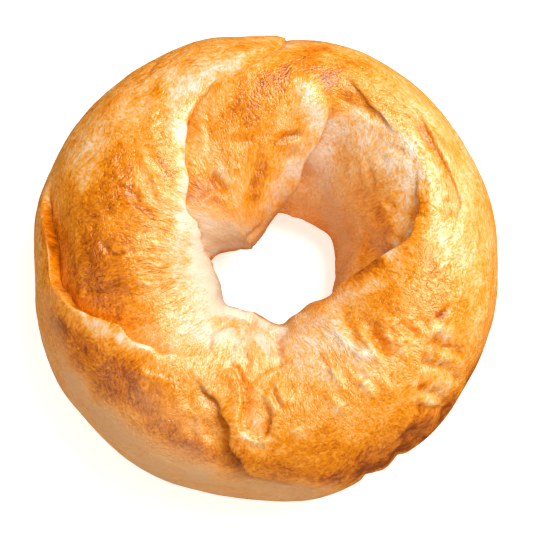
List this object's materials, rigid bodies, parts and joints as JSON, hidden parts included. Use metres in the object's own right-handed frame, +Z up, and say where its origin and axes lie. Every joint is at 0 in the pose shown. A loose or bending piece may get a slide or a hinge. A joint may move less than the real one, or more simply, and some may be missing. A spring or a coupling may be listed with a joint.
{
  "type": "bagel",
  "caption": "Plain baked bagel: a hand-wound ring of dough with a lapped tail, folded seams, an uneven hole and a flat underside.",
  "frame": {"origin": "centre of the bounding box in X and Y, on the surface that the bagel stands on", "axes": "+Z up along the hole, +Y towards the lapped tail, +X to the right of the tail seen from above"},
  "size_m": [0.112, 0.1132, 0.038],
  "materials": {
    "crust": "glossy golden-brown baked crust, cream in the folds and towards the hole"
  },
  "bodies": {
    "root": {"bagel": "crust"}
  },
  "joints": []
}
